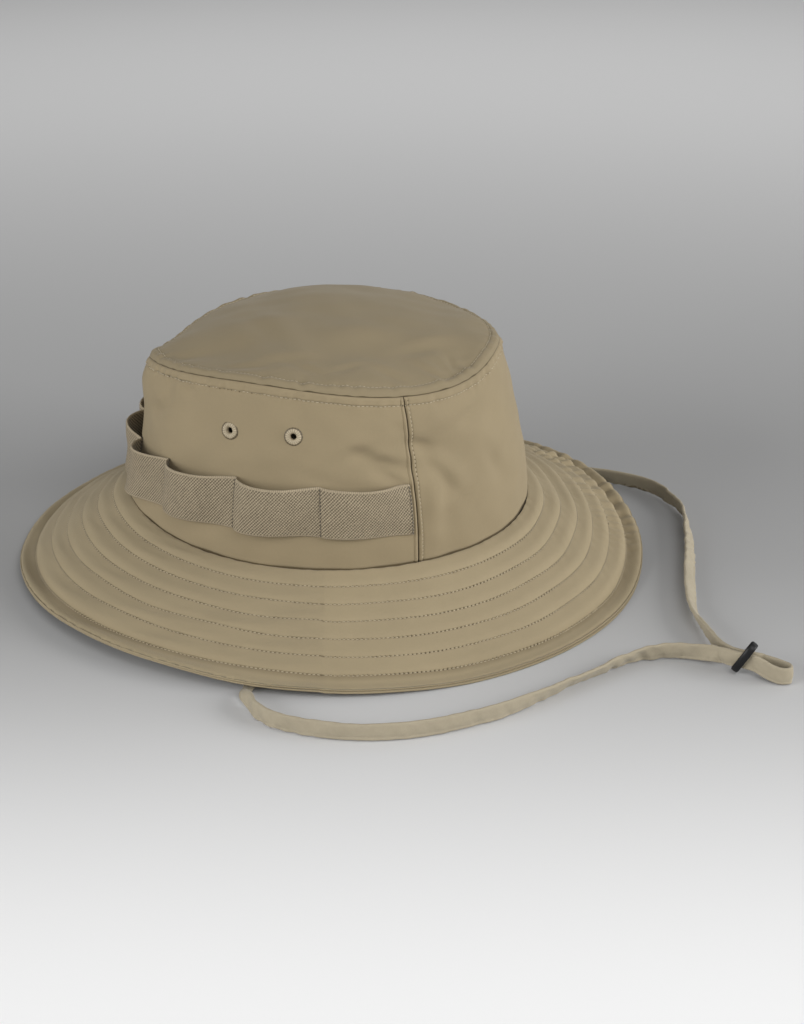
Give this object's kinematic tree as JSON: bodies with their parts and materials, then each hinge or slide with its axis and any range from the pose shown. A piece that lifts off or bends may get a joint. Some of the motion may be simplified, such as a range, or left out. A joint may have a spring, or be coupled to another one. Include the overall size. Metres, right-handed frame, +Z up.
{
  "type": "sun hat",
  "caption": "Soft cloth sun hat with a domed crown, a wide stitched brim, a looped webbing band, eyelets and a chin strap with a slider.",
  "frame": {"origin": "on the floor under the middle of the brim", "axes": "+Z up out of the crown, -Y towards the wearer's front, +X towards the wearer's left"},
  "size_m": [0.3304, 0.3798, 0.1338],
  "materials": {
    "hat_fabric": "matt plain-woven khaki cloth",
    "webbing": "matt twill webbing, a little greyer than the cloth",
    "eyelet_thread": "sewn eyelets, khaki thread with a slight sheen",
    "strap_fabric": "folded and stitched khaki cloth",
    "slider_plastic": "black, slightly glossy"
  },
  "bodies": {
    "root": {"crown_top": "hat_fabric", "front_wall": "hat_fabric", "back_wall": "hat_fabric", "brim_upper": "hat_fabric", "brim_under": "hat_fabric", "webbing_band": "webbing", "eyelet_left_front": "eyelet_thread", "eyelet_left_rear": "eyelet_thread", "eyelet_right_front": "eyelet_thread", "eyelet_right_rear": "eyelet_thread", "chin_strap": "strap_fabric", "strap_slider": "slider_plastic"}
  },
  "joints": []
}
